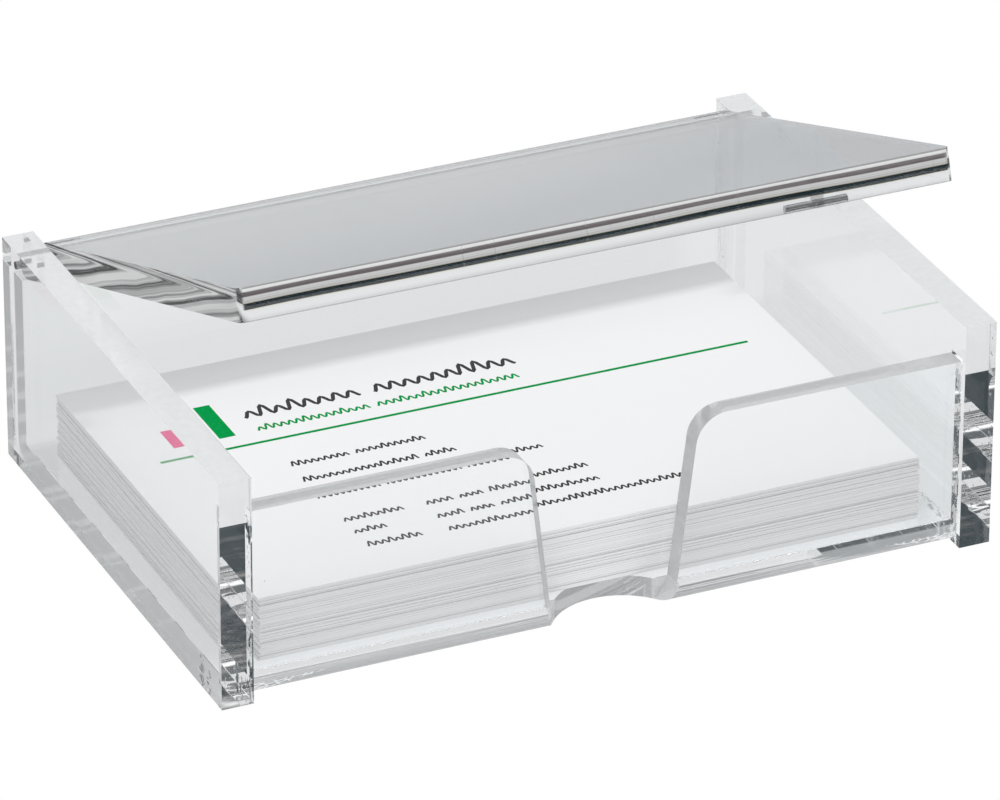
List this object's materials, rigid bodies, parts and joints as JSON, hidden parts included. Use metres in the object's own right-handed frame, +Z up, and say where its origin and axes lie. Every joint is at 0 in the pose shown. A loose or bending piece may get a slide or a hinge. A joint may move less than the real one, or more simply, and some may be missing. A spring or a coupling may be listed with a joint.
{
  "type": "business card box",
  "caption": "Clear acrylic desktop box for business cards: a bent tray between two side panels, a thumb notch in the front wall, a hinged lid and a pack of cards.",
  "frame": {"origin": "middle of the box's footprint, on the surface it stands on", "axes": "+X to the right, along the hinge axis and the box's longest side; -Y is the front, with the thumb notch; +Z is up"},
  "size_m": [0.099, 0.068, 0.0512],
  "materials": {
    "clear_acrylic": "clear, polished cast acrylic",
    "acrylic_cement": "dried solvent cement with small bubbles",
    "pin_steel": "bright drawn steel wire",
    "card_stock": "matt white card",
    "printed_card": "matt white card, printed"
  },
  "bodies": {
    "case": {"tray": "clear_acrylic", "left_side_panel": "clear_acrylic", "right_side_panel": "clear_acrylic", "left_cement_seam": "acrylic_cement", "right_cement_seam": "acrylic_cement", "left_hinge_pin": "pin_steel", "right_hinge_pin": "pin_steel"},
    "lid": {"lid": "clear_acrylic"},
    "card_pack": {"card_01": "card_stock", "card_02": "card_stock", "card_03": "card_stock", "card_04": "card_stock", "card_05": "card_stock", "card_06": "card_stock", "card_07": "card_stock", "card_08": "card_stock", "card_09": "card_stock", "card_10": "card_stock", "card_11": "card_stock", "card_12": "card_stock", "card_13": "card_stock", "card_14": "card_stock", "card_15": "card_stock", "card_16": "card_stock", "card_17": "card_stock", "card_18": "card_stock", "card_19": "card_stock", "card_20": "card_stock", "card_21": "card_stock", "card_22": "card_stock", "card_23": "card_stock", "card_24": "card_stock", "card_25": "card_stock", "card_26": "card_stock", "card_27": "card_stock", "card_28": "card_stock", "card_29": "card_stock"},
    "top_card": {"top_card": "printed_card"}
  },
  "joints": [
    {"name": "lid_hinge", "type": "hinge", "parent": "case", "child": "lid", "pos_m": [0, 0.03, 0.0275], "axis": [-1, 0, 0], "range_deg": [-20.65, 78]},
    {"name": "card_pack_lift", "type": "slide", "parent": "case", "child": "card_pack", "axis": [0, 0, 1], "range_m": [0, 0.006]},
    {"name": "top_card_lift", "type": "slide", "parent": "card_pack", "child": "top_card", "axis": [0, 0, 1], "range_m": [0, 0.006]}
  ]
}
